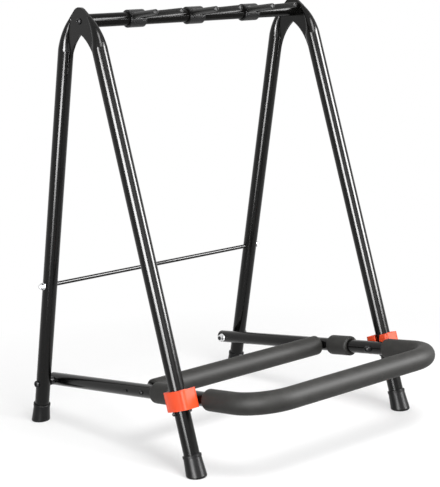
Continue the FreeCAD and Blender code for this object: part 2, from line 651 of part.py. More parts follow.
def stop_pin_middle():
    """Middle of the pin that goes across the left front leg under the collar."""
    drop = COLLAR_HEIGHT / 2 - COLLAR_RISE + STOP_PIN_D / 2 + SEAT_GAP
    along = Vector(0, math.sin(TILT), math.cos(TILT))
    return tray_point(-SIDE_X, CROSS_REACH) - along * drop


def stop_pin():
    """Round-ended pin through the left front leg."""
    straight = STOP_PIN_LENGTH - STOP_PIN_D
    ends = [stop_pin_middle() + X_AXIS * (side * straight / 2) for side in (-1, 1)]
    pin = rod(ends[0], X_AXIS, straight, STOP_PIN_D)
    for end in ends:
        pin = pin.fuse(Part.makeSphere(STOP_PIN_D / 2, end))
    return pin.removeSplitter()


def both_sides(shape):
    """A left piece and its mirror image as one group."""
    return Part.makeCompound([shape, mirrored(shape)])


def build_frames():
    """Legs, gussets, feet, top bar, tie rod, collars and their fasteners."""
    pieces = {"gusset": make_gusset(), "lock_collar": make_collar()}
    foot = make_foot()
    for end, direction in ENDS:
        pieces[end + "_leg"] = make_leg(direction < 0)
        pieces[end + "_foot"] = foot if direction > 0 else foot.mirror(ORIGIN, Y_AXIS)
    for name, shape in pieces.items():
        for side, direction in SIDES:
            export(side + "_" + name, shape if direction < 0 else mirrored(shape))
    export("top_bar", make_top_bar())
    export("bar_end_plugs", both_sides(bar_plug()))
    export("bar_screws", both_sides(bar_screw()))
    export("tie_rod", make_tie_rod())
    seat = tie_rod_end()
    export("tie_rod_washers", both_sides(along_x(washer(TIE_WASHER_D, TIE_ROD_D + 2 * FIT), seat, -1)))
    nut = cap_nut(TIE_NUT_FLATS, TIE_NUT_HEIGHT, TIE_ROD_D + 2 * FIT)
    export("tie_rod_nuts", both_sides(along_x(nut, seat - X_AXIS * WASHER_THICKNESS, -1)))
    export("stop_pins", both_sides(stop_pin()))
    for name, shape in pivot_parts().items():
        export(name, both_sides(shape))


def build_yokes():
    """Three neck yokes along the top bar."""
    for index, place in enumerate(("left", "centre", "right")):
        for name, shape in make_yoke((index - 1) * YOKE_PITCH).items():
            export(place + "_" + name, shape)


def build_tray():
    """Tray tube, rear rail, foam and the fasteners that move with them."""
    export("tray_tube", tray_place(make_tray_tube()))
    export("tray_tube_plugs", tray_place(both_sides(tray_plug())))
    export("rear_rail", tray_place(make_rear_rail()))
    export("rear_rail_plugs", tray_place(make_rail_plugs()))
    export("rear_rail_screws", tray_place(both_sides(rail_screw())))
    export("lock_studs", tray_place(both_sides(lock_stud())))
    disc, nut = lock_nut()
    export("lock_washers", tray_place(both_sides(disc)))
    export("lock_nuts", tray_place(both_sides(nut)))
    export("front_foam", tray_place(foam(tray_path(CROSS_REACH + FRONT_FOAM_GAP))))
    rail_x = ARM_X - TRAY_R - SIDE_GAP
    rail_foam = straight_foam(Vector(-rail_x, -RAIL_REACH, 0), Vector(rail_x, -RAIL_REACH, 0))
    export("rear_foam", tray_place(rail_foam))
    near = Vector(-ARM_X, SLEEVE_LOCK_GAP - CROSS_REACH, 0)
    far = Vector(-ARM_X, -RAIL_REACH - FOAM_R - SLEEVE_RAIL_GAP, 0)
    sleeve = straight_foam(near, far)
    for side, direction in SIDES:
        export(side + "_side_foam", tray_place(sleeve if direction < 0 else mirrored(sleeve)))


build_frames()
build_yokes()
build_tray()
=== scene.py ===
"""Looks of a folding multi guitar stand: foam sleeves, weld seams, finishes, studio light and camera."""
import json
import logging
import math
from dataclasses import dataclass, replace
from enum import Enum

import bpy
from mathutils import Matrix, Vector, noise

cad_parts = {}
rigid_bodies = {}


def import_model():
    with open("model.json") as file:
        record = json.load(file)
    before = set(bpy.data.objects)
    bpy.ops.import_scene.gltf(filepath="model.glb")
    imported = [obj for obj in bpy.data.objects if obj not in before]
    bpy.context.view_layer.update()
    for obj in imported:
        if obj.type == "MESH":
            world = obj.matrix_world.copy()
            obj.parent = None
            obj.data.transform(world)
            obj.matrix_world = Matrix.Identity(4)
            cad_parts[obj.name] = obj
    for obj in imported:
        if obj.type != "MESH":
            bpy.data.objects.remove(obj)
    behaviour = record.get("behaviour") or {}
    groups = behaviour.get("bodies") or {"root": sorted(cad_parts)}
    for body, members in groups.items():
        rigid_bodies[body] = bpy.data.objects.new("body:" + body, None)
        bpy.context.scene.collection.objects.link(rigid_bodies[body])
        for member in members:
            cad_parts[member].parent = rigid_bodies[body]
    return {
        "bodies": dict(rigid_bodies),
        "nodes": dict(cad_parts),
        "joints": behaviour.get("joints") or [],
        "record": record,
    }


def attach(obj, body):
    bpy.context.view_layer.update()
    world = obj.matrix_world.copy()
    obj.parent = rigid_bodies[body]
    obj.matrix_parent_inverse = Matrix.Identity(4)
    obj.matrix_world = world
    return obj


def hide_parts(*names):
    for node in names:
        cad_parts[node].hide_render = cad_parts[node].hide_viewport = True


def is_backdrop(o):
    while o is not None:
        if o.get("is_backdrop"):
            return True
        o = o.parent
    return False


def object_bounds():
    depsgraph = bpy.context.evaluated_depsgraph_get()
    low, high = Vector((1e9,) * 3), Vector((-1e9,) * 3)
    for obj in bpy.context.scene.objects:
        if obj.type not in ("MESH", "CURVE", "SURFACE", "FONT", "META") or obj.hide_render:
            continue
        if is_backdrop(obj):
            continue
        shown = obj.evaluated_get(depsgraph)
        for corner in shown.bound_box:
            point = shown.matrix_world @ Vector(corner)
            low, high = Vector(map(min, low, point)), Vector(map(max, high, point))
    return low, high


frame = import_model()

Colour = tuple[float, float, float]
Point = tuple[float, float, float]

log = logging.getLogger("guitar_stand")
MM = 0.001
IMAGE_WIDTH = 440
IMAGE_HEIGHT = 487
WHITE = (1.0, 1.0, 1.0, 1.0)
QUARTER_TURN = math.pi / 2


class Slot(Enum):
    """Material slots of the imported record."""

    FRAME_PAINT = "frame_paint"
    FOOT_RUBBER = "foot_rubber"
    COLLAR_RED = "collar_red"
    FOAM = "foam"
    YOKE_PLASTIC = "yoke_plastic"
    GRIP_RUBBER = "grip_rubber"
    ZINC = "zinc"
    BLACK_STEEL = "black_steel"
    PLUG_PLASTIC = "plug_plastic"


class Body(Enum):
    """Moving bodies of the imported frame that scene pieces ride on."""

    FRAME = "frame"
    TRAY = "tray"


class Pen:
    """Adds and wires the nodes of one tree."""

    def __init__(self, tree: bpy.types.NodeTree) -> None:
        """Take the tree to work on."""
        self.tree = tree

    def add(self, kind: str, inputs: dict[str | int, object] | None = None,
            **settings: object) -> bpy.types.Node:
        """Add a node.

        Args:
            kind: Blender's type name of the node.
            inputs: Values or source sockets by input name or number.
            settings: Properties of the node itself.

        Returns:
            The new node.
        """
        made = self.tree.nodes.new(kind)
        for name, value in settings.items():
            setattr(made, name, value)
        for key, value in (inputs or {}).items():
            self.feed(made, key, value)
        return made

    def feed(self, node: bpy.types.Node, key: str | int, value: object) -> None:
        """Link a source socket to an input, or set the input's own value.

        Args:
            node: The node that is fed.
            key: Name or number of its input.
            value: A socket to link, or a plain value.
        """
        if isinstance(value, bpy.types.NodeSocket):
            self.tree.links.new(value, node.inputs[key])
        else:
            node.inputs[key].default_value = value

    def math(self, operation: str, first: object, second: object = 0.0) -> bpy.types.NodeSocket:
        """Result socket of a new Math node on two values or sockets."""
        return self.add("ShaderNodeMath", {0: first, 1: second}, operation=operation).outputs[0]

    def blend(self, share: object, first: Colour, second: Colour) -> bpy.types.NodeSocket:
        """Mix two colours by a share.

        Args:
            share: Socket that runs from 0 to 1.
            first: Linear colour at 0.
            second: Linear colour at 1.

        Returns:
            The mixed colour's socket.
        """
        mix = self.add("ShaderNodeMix", data_type="RGBA")
        self.feed(mix, "Factor", share)
        mix.inputs["A"].default_value = (*first, 1.0)
        mix.inputs["B"].default_value = (*second, 1.0)
        return mix.outputs["Result"]

    def ramp(self, value: object, low: object, high: object, start: float = 0.0,
             end: float = 1.0) -> bpy.types.NodeSocket:
        """Map a value from one range to another, clamped.

        Args:
            value: Socket to map.
            low: Value that gives the start.
            high: Value that gives the end.
            start: Result at low.
            end: Result at high.

        Returns:
            The mapped value's socket.
        """
        made = self.add("ShaderNodeMapRange", {"Value": value, "From Min": low, "From Max": high,
                                               "To Min": start, "To Max": end})
        return made.outputs["Result"]


def start_group(name: str, inputs: dict[str, float], outputs: dict[str, str]
                ) -> tuple[Pen, dict[str, bpy.types.NodeSocket], bpy.types.Node]:
    """Begin a shader node group.

    Args:
        name: The group's name.
        inputs: Its number inputs with their defaults.
        outputs: Its outputs with their socket types.

    Returns:
        A pen on the group's tree, its input sockets by name, and its output node.
    """
    tree = bpy.data.node_groups.new(name, "ShaderNodeTree")
    for label, value in inputs.items():
        socket = tree.interface.new_socket(label, in_out="INPUT", socket_type="NodeSocketFloat")
        socket.default_value = value
    for label, kind in outputs.items():
        tree.interface.new_socket(label, in_out="OUTPUT", socket_type=kind)
    pen = Pen(tree)
    entry = pen.add("NodeGroupInput")
    leave = pen.add("NodeGroupOutput")
    return pen, {label: entry.outputs[label] for label in inputs}, leave


class SharedEffects:
    """Shader node groups that several finishes use, each built once."""

    CLOSE_CLOUD_SCALE = 7.3
    WIDE_CLOUD_SHARE = 0.65
    CLOSE_CLOUD_SHARE = 0.35
    CLOUD_MIDDLE = 0.5
    RIPPLE_SCALE = 0.31
    EDGE_SAMPLES = 6
    FLAT_COSINE = 0.985
    SHARP_COSINE = 0.86
    BARE_PATCH_START = 0.48
    BARE_PATCH_END = 0.66
    DUST_SLOPE = 0.35
    DUST_SPECK_ROUGHNESS = 0.65
    DUST_SPECK_START = 0.42
    DUST_SPECK_END = 0.72

    def __init__(self) -> None:
        """Build every group."""
        self.mottle = self.build_mottle()
        self.grain = self.build_grain()
        self.edge = self.build_edge()
        self.dust = self.build_dust()

    def build_mottle(self) -> bpy.types.NodeTree:
        """Cloudy variation at two scales.

        Returns:
            A group whose share runs from 0 to 1.
        """
        pen, into, leave = start_group("Mottle", {"Scale": 20.0, "Contrast": 0.3},
                                       {"Share": "NodeSocketFloat"})
        place = pen.add("ShaderNodeTexCoord").outputs["Object"]
        wide = pen.add("ShaderNodeTexNoise", {"Vector": place, "Scale": into["Scale"], "Detail": 3.0})
        close_scale = pen.math("MULTIPLY", into["Scale"], self.CLOSE_CLOUD_SCALE)
        close = pen.add("ShaderNodeTexNoise", {"Vector": place, "Detail": 4.0, "Scale": close_scale})
        both = pen.math("ADD", pen.math("MULTIPLY", wide.outputs[0], self.WIDE_CLOUD_SHARE),
                        pen.math("MULTIPLY", close.outputs[0], self.CLOSE_CLOUD_SHARE))
        low = pen.math("SUBTRACT", self.CLOUD_MIDDLE, into["Contrast"])
        high = pen.math("ADD", self.CLOUD_MIDDLE, into["Contrast"])
        pen.feed(leave, "Share", pen.ramp(both, low, high))
        return pen.tree

    def build_grain(self) -> bpy.types.NodeTree:
        """Fine grain for moulded skins: small cells over a softer ripple.

        Returns:
            A group that puts out a height.
        """
        pen, into, leave = start_group("FineGrain", {"Scale": 1500.0, "Cells": 0.5},
                                       {"Height": "NodeSocketFloat"})
        place = pen.add("ShaderNodeTexCoord").outputs["Object"]
        cells = pen.add("ShaderNodeTexVoronoi", {"Vector": place, "Scale": into["Scale"]},
                        feature="SMOOTH_F1")
        ripple_scale = pen.math("MULTIPLY", into["Scale"], self.RIPPLE_SCALE)
        ripple = pen.add("ShaderNodeTexNoise", {"Vector": place, "Detail": 2.0, "Scale": ripple_scale})
        pitted = pen.math("MULTIPLY", cells.outputs["Distance"], into["Cells"])
        pen.feed(leave, "Height", pen.math("ADD", pitted, ripple.outputs[0]))
        return pen.tree

    def build_edge(self) -> bpy.types.NodeTree:
        """Softened normal over sharp edges, and a broken mask along them.

        Returns:
            A group that puts out the mask and the normal.
        """
        pen, into, leave = start_group("EdgeRub", {"Radius": 0.0008, "Breakup": 160.0},
                                       {"Mask": "NodeSocketFloat", "Normal": "NodeSocketVector"})
        round_edge = pen.add("ShaderNodeBevel", {"Radius": into["Radius"]}, samples=self.EDGE_SAMPLES)
        flat = pen.add("ShaderNodeNewGeometry").outputs["Normal"]
        turn = pen.add("ShaderNodeVectorMath", {0: round_edge.outputs[0], 1: flat}, operation="DOT_PRODUCT")
        corner = pen.ramp(turn.outputs["Value"], self.FLAT_COSINE, self.SHARP_COSINE)
        place = pen.add("ShaderNodeTexCoord").outputs["Object"]
        patches = pen.add("ShaderNodeTexNoise", {"Vector": place, "Scale": into["Breakup"], "Detail": 3.0})
        bare = pen.ramp(patches.outputs[0], self.BARE_PATCH_START, self.BARE_PATCH_END)
        pen.feed(leave, "Mask", pen.math("MULTIPLY", corner, bare))
        pen.feed(leave, "Normal", round_edge.outputs[0])
        return pen.tree

    def build_dust(self) -> bpy.types.NodeTree:
        """Settled dust on faces that look up at rest.

        Returns:
            A group that puts out the dust's mask.
        """
        pen, into, leave = start_group("Dust", {"Amount": 0.2, "Scale": 60.0}, {"Mask": "NodeSocketFloat"})
        coordinates = pen.add("ShaderNodeTexCoord")
        up = pen.add("ShaderNodeSeparateXYZ", {0: coordinates.outputs["Normal"]}).outputs["Z"]
        place = coordinates.outputs["Object"]
        specks = pen.add("ShaderNodeTexNoise", {"Vector": place, "Scale": into["Scale"], "Detail": 5.0,
                                                "Roughness": self.DUST_SPECK_ROUGHNESS})
        speckled = pen.ramp(specks.outputs[0], self.DUST_SPECK_START, self.DUST_SPECK_END)
        settled = pen.math("MULTIPLY", pen.ramp(up, self.DUST_SLOPE, 1.0), speckled)
        pen.feed(leave, "Mask", pen.math("MULTIPLY", settled, into["Amount"]))
        return pen.tree


@dataclass(frozen=True)
class Finish:
    """A surface finish with mottled colour, varied roughness, fine grain, soft edges and a trace of dust.

    It covers its whole slot, or one node of that slot where a node is named.
    """

    slot: Slot
    colour: Colour
    second_colour: Colour
    roughness: tuple[float, float]
    rub_colour: Colour
    rub_share: float = 0.4
    dust_colour: Colour = (0.24, 0.235, 0.22)
    dust: float = 0.05
    dust_roughness: float = 0.5
    mottle_scale: float = 24.0
    grain_scale: float = 1500.0
    grain_cells: float = 0.4
    grain_depth: float = 0.00002
    grain_strength: float = 0.25
    edge_radius: float = 0.0008
    metallic: float = 0.0
    ior: float = 1.45
    node: str = ""

    def material(self, effects: SharedEffects) -> bpy.types.Material:
        """Build the finish.

        Args:
            effects: The shared shader groups.

        Returns:
            A node material named after its node, or else after its slot.
        """
        made = bpy.data.materials.new((self.node or self.slot.value) + "_finish")
        made.use_nodes = True
        made.node_tree.nodes.clear()
        pen = Pen(made.node_tree)
        shader = pen.add("ShaderNodeBsdfPrincipled", {"Metallic": self.metallic, "IOR": self.ior})
        pen.add("ShaderNodeOutputMaterial", {"Surface": shader.outputs[0]})
        self.wire(pen, shader, effects)
        return made

    @staticmethod
    def group(pen: Pen, tree: bpy.types.NodeTree, inputs: dict[str, float]) -> bpy.types.Node:
        """Place a shared group in a material with its own values.

        Args:
            pen: Pen on the material's tree.
            tree: The shared group.
            inputs: The finish's values by input name.

        Returns:
            The group's node.
        """
        made = pen.add("ShaderNodeGroup", node_tree=tree)
        for key, value in inputs.items():
            pen.feed(made, key, value)
        return made

    def wire(self, pen: Pen, shader: bpy.types.Node, effects: SharedEffects) -> None:
        """Wire colour, roughness and normal into the shader.

        Args:
            pen: Pen on the material's tree.
            shader: The material's Principled shader.
            effects: The shared shader groups.
        """
        clouds = self.group(pen, effects.mottle, {"Scale": self.mottle_scale}).outputs["Share"]
        edge = self.group(pen, effects.edge, {"Radius": self.edge_radius})
        dust = self.group(pen, effects.dust, {"Amount": self.dust}).outputs["Mask"]
        rub = pen.math("MULTIPLY", edge.outputs["Mask"], self.rub_share)
        plain = pen.blend(clouds, self.colour, self.second_colour)
        rubbed = self.over(pen, plain, rub, self.rub_colour)
        pen.feed(shader, "Base Color", self.over(pen, rubbed, dust, self.dust_colour))
        gloss = pen.ramp(clouds, 0.0, 1.0, *self.roughness)
        dulled = pen.math("MULTIPLY", dust, self.dust_roughness)
        pen.feed(shader, "Roughness", pen.math("ADD", gloss, dulled))
        height = self.group(pen, effects.grain, {"Scale": self.grain_scale, "Cells": self.grain_cells})
        bump = pen.add("ShaderNodeBump", {"Strength": self.grain_strength, "Distance": self.grain_depth,
                                          "Height": height.outputs["Height"],
                                          "Normal": edge.outputs["Normal"]})
        pen.feed(shader, "Normal", bump.outputs[0])

    @staticmethod
    def over(pen: Pen, under: bpy.types.NodeSocket, mask: bpy.types.NodeSocket,
             colour: Colour) -> bpy.types.NodeSocket:
        """Lay a colour over another by a mask.

        Args:
            pen: Pen on the material's tree.
            under: Colour below.
            mask: Share of the new colour.
            colour: Linear colour that is laid over.

        Returns:
            The covered colour's socket.
        """
        mix = pen.add("ShaderNodeMix", data_type="RGBA")
        pen.feed(mix, "Factor", mask)
        pen.feed(mix, "A", under)
        mix.inputs["B"].default_value = (*colour, 1.0)
        return mix.outputs["Result"]


GLOSS_PAINT = Finish(Slot.FRAME_PAINT, (0.0023, 0.0022, 0.0020), (0.0034, 0.0032, 0.0030), (0.15, 0.19),
                     rub_colour=(0.05, 0.05, 0.052), rub_share=0.2, dust=0.006, grain_scale=700.0,
                     grain_cells=0.0, grain_depth=0.00001, grain_strength=0.05, edge_radius=0.0002,
                     ior=1.29)
BAR_PAINT = replace(GLOSS_PAINT, node="top_bar", roughness=(0.18, 0.24), ior=1.17)
FOOT_RUBBER = Finish(Slot.FOOT_RUBBER, (0.005, 0.005, 0.0052), (0.008, 0.008, 0.0082), (0.30, 0.38),
                     rub_colour=(0.03, 0.03, 0.03), dust=0.02, edge_radius=0.0006, ior=1.24)
COLLAR_RED = Finish(Slot.COLLAR_RED, (0.92, 0.084, 0.022), (0.94, 0.094, 0.027), (0.42, 0.50),
                    rub_colour=(0.95, 0.24, 0.14), dust=0.01, grain_scale=1900.0, grain_strength=0.12,
                    ior=1.25)
FOAM_SKIN = Finish(Slot.FOAM, (0.014, 0.0136, 0.0124), (0.028, 0.0272, 0.0248), (0.55, 0.63),
                   rub_colour=(0.06, 0.06, 0.055), rub_share=0.2, dust=0.03, mottle_scale=60.0,
                   grain_scale=620.0, grain_cells=0.9, grain_depth=0.00016, grain_strength=0.45, ior=1.27)
YOKE_PLASTIC = Finish(Slot.YOKE_PLASTIC, (0.007, 0.007, 0.0072), (0.010, 0.010, 0.0103), (0.30, 0.38),
                      rub_colour=(0.03, 0.03, 0.03), dust=0.02, edge_radius=0.0003, ior=1.30)
GRIP_RUBBER = Finish(Slot.GRIP_RUBBER, (0.010, 0.0098, 0.0095), (0.015, 0.0148, 0.0143), (0.40, 0.50),
                     rub_colour=(0.04, 0.04, 0.04), dust=0.02, edge_radius=0.0004, ior=1.30)
ZINC_PLATE = Finish(Slot.ZINC, (0.60, 0.61, 0.62), (0.70, 0.70, 0.70), (0.22, 0.34),
                    rub_colour=(0.85, 0.85, 0.85), dust=0.03, mottle_scale=180.0, metallic=1.0,
                    edge_radius=0.0003, grain_strength=0.08)
BLACK_STEEL = Finish(Slot.BLACK_STEEL, (0.008, 0.008, 0.009), (0.014, 0.014, 0.015), (0.34, 0.44),
                     rub_colour=(0.10, 0.10, 0.10), dust=0.02, mottle_scale=120.0,
                     edge_radius=0.0003, ior=1.28)
PLUG_PLASTIC = Finish(Slot.PLUG_PLASTIC, (0.008, 0.008, 0.008), (0.012, 0.012, 0.012), (0.30, 0.38),
                      rub_colour=(0.04, 0.04, 0.04), dust=0.02, edge_radius=0.0004, ior=1.40)
FINISHES = (GLOSS_PAINT, BAR_PAINT, FOOT_RUBBER, COLLAR_RED, FOAM_SKIN, YOKE_PLASTIC, GRIP_RUBBER,
            ZINC_PLATE, BLACK_STEEL, PLUG_PLASTIC)


def add_mesh(name: str, points: list[Vector], faces: list[tuple[int, ...]]) -> bpy.types.Object:
    """Make a smooth-shaded mesh object at the origin.

    Args:
        name: The piece's name.
        points: Its vertices in the frame, in metres.
        faces: Its faces as vertex numbers, facing outwards.

    Returns:
        The linked object.
    """
    mesh = bpy.data.meshes.new(name)
    mesh.from_pydata([tuple(point) for point in points], [], faces)
    mesh.polygons.foreach_set("use_smooth", [True] * len(mesh.polygons))
    mesh.update()
    made = bpy.data.objects.new(name, mesh)
    bpy.context.scene.collection.objects.link(made)
    return made


@dataclass
class Station:
    """One place along a sleeve: its centre, its travel direction and how it bends there."""

    centre: Vector
    travel: Vector
    inward: Vector
    bend: float
    along: float


@dataclass
class TrayFrame:
    """The tilted plane of the tray, with reach measured forward from the fold axis."""

    pivot: Vector
    tilt_deg: float = 5.61

    def point(self, x: float, reach: float) -> Vector:
        """Place of a point in the tray's plane."""
        tilt = math.radians(self.tilt_deg)
        return self.pivot + Vector((x, -reach * math.cos(tilt), reach * math.sin(tilt)))

    def direction(self, x: float, reach: float) -> Vector:
        """Unit direction in the tray's plane."""
        return (self.point(x, reach) - self.point(0.0, 0.0)).normalized()

    def up(self) -> Vector:
        """Unit normal of the tray's plane."""
        tilt = math.radians(self.tilt_deg)
        return Vector((0.0, math.sin(tilt), math.cos(tilt)))


@dataclass
class FoamSleeves:
    """The four closed-cell foam sleeves pushed over the tray tube and the rear rail."""

    tray: TrayFrame
    outer_radius: float = 19.0 * MM
    bore_radius: float = 12.55 * MM
    end_radius: float = 4.0 * MM
    arm_x: float = 216.0 * MM
    front_reach: float = 612.7 * MM
    corner_radius: float = 67.0 * MM
    front_start: float = 480.03 * MM
    side_start: float = 331.0 * MM
    side_end: float = 385.03 * MM
    rear_half: float = 203.2 * MM
    rear_reach: float = 299.7 * MM
    step: float = 4.0 * MM
    segments: int = 48
    end_rings: int = 5
    swell: float = 0.18 * MM
    swell_rate_along: float = 9.0
    swell_rate_round: float = 0.8
    pucker: float = 0.22 * MM
    pucker_pitch: float = 7.0 * MM
    pucker_rate: float = 2.0
    pucker_drift: float = 2.0
    seed_step: float = 3.7

    def straight(self, start: Vector, end: Vector, along: float) -> list[Station]:
        """Stations of a straight run.

        Args:
            start: First centre.
            end: Last centre.
            along: Path length before the run.

        Returns:
            Evenly spaced stations, both ends included.
        """
        run = end - start
        count = max(2, round(run.length / self.step))
        travel = run.normalized()
        inward = self.tray.up().cross(travel)
        return [Station(start + run * i / count, travel, inward, 0.0, along + run.length * i / count)
                for i in range(count + 1)]

    def corner(self, centre: Vector, first: Vector, travel: Vector, along: float) -> list[Station]:
        """Stations of a quarter bend about a centre in the tray's plane.

        Args:
            centre: Centre of the bend.
            first: Unit direction from the centre to the bend's start.
            travel: Unit travel direction at the start.
            along: Path length before the bend.

        Returns:
            Stations between the bend's two ends, ends left out.
        """
        count = round(QUARTER_TURN * self.corner_radius / self.step)
        found = []
        for i in range(1, count):
            turn = QUARTER_TURN * i / count
            out = first * math.cos(turn) + travel * math.sin(turn)
            ahead = travel * math.cos(turn) - first * math.sin(turn)
            fade = math.sin(math.pi * i / count)
            found.append(Station(centre + out * self.corner_radius, ahead, -out, fade,
                                 along + self.corner_radius * turn))
        return found

    def front_path(self) -> list[Station]:
        """Stations of the bow.

        Returns:
            Stations of the left arm, corner, front rail, corner and right arm.
        """
        inner_x = self.arm_x - self.corner_radius
        inner_reach = self.front_reach - self.corner_radius
        left = self.tray.direction(-1.0, 0.0)
        ahead = self.tray.direction(0.0, 1.0)
        path = self.straight(self.tray.point(-self.arm_x, self.front_start),
                             self.tray.point(-self.arm_x, inner_reach), 0.0)
        path += self.corner(self.tray.point(-inner_x, inner_reach), left, ahead, path[-1].along)
        path += self.straight(self.tray.point(-inner_x, self.front_reach),
                              self.tray.point(inner_x, self.front_reach), path[-1].along)
        path += self.corner(self.tray.point(inner_x, inner_reach), ahead, -left, path[-1].along)
        path += self.straight(self.tray.point(self.arm_x, inner_reach),
                              self.tray.point(self.arm_x, self.front_start), path[-1].along)
        return path

    def skin(self, station: Station, angle: float, seed: float) -> float:
        """Radius of the skin at an angle: a faint swell, and puckers inside the bends.

        Args:
            station: Place along the sleeve.
            angle: Angle round the sleeve, from the inner side of its bend.
            seed: Offset that sets one sleeve apart from the next.

        Returns:
            The outer radius there.
        """
        spot = Vector((station.along * self.swell_rate_along + seed,
                       math.cos(angle) * self.swell_rate_round,
                       math.sin(angle) * self.swell_rate_round))
        inner = max(0.0, math.cos(angle)) ** 2 * station.bend
        drift = noise.noise(spot * self.pucker_rate) * self.pucker_drift
        ripple = math.sin(math.tau * station.along / self.pucker_pitch + drift)
        return self.outer_radius + self.swell * noise.noise(spot) + self.pucker * inner * ripple

    def ring(self, station: Station, radius: float | None, seed: float) -> list[Vector]:
        """Points round the sleeve.

        Args:
            station: Place along the sleeve.
            radius: Radius of the ring, or None to follow the skin.
            seed: The sleeve's seed.

        Returns:
            Points in order round the sleeve.
        """
        up = self.tray.up()
        found = []
        for i in range(self.segments):
            angle = math.tau * i / self.segments
            reach = self.skin(station, angle, seed) if radius is None else radius
            found.append(station.centre + (station.inward * math.cos(angle) + up * math.sin(angle)) * reach)
        return found

    def end_cap(self, station: Station, outward: float, seed: float) -> list[list[Vector]]:
        """Rings of a rounded end, from the skin towards the bore.

        Args:
            station: The sleeve's end station.
            outward: 1 where travel leads out of the sleeve, -1 where it leads in.
            seed: The sleeve's seed.

        Returns:
            Rings in order from the skin to the flat end face.
        """
        rings = []
        for i in range(self.end_rings + 1):
            turn = QUARTER_TURN * i / self.end_rings
            back = station.travel * (-outward * self.end_radius * (1 - math.sin(turn)))
            sunk = self.end_radius * (1 - math.cos(turn))
            rings.append([point + back - (point - station.centre).normalized() * sunk
                          for point in self.ring(station, None, seed)])
        return rings

    def sleeve(self, name: str, path: list[Station], seed: float) -> bpy.types.Object:
        """Sweep one sleeve with its skin, rounded ends and bore.

        Args:
            name: The piece's name.
            path: Stations from end to end.
            seed: Offset for its skin.

        Returns:
            The closed mesh object.
        """
        inside = [station for station in path
                  if self.end_radius < station.along < path[-1].along - self.end_radius]
        rings = list(reversed(self.end_cap(path[0], -1.0, seed)))
        rings += [self.ring(station, None, seed) for station in inside]
        rings += self.end_cap(path[-1], 1.0, seed)
        rings += [self.ring(station, self.bore_radius, seed) for station in reversed(path)]
        points = [point for ring in rings for point in ring]
        faces = []
        for row in range(len(rings)):
            here = row * self.segments
            there = (row + 1) % len(rings) * self.segments
            for i in range(self.segments):
                j = (i + 1) % self.segments
                faces.append((here + i, here + j, there + j, there + i))
        return add_mesh(name, points, faces)

    def build(self) -> dict[str, bpy.types.Object]:
        """Build the four sleeves.

        Returns:
            Each sleeve by the node that it stands for.
        """
        paths = {
            "front_foam": self.front_path(),
            "rear_foam": self.straight(self.tray.point(-self.rear_half, self.rear_reach),
                                       self.tray.point(self.rear_half, self.rear_reach), 0.0)}
        for side, sign in (("left", -1.0), ("right", 1.0)):
            start = self.tray.point(sign * self.arm_x, self.side_start)
            end = self.tray.point(sign * self.arm_x, self.side_end)
            paths[side + "_side_foam"] = self.straight(start, end, 0.0)
        return {node: self.sleeve(node + "_sleeve", path, number * self.seed_step)
                for number, (node, path) in enumerate(paths.items())}

    def dress(self, sleeves: dict[str, bpy.types.Object], material: bpy.types.Material) -> None:
        """Give the sleeves their finish and body, and hide the nodes that they stand for.

        Args:
            sleeves: Each sleeve by the node that it stands for.
            material: The foam skin.
        """
        for node, piece in sleeves.items():
            piece.data.materials.append(material)
            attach(piece, Body.TRAY.value)
            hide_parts(node)
            log.info("foam sleeve %s: %d faces", piece.name, len(piece.data.polygons))


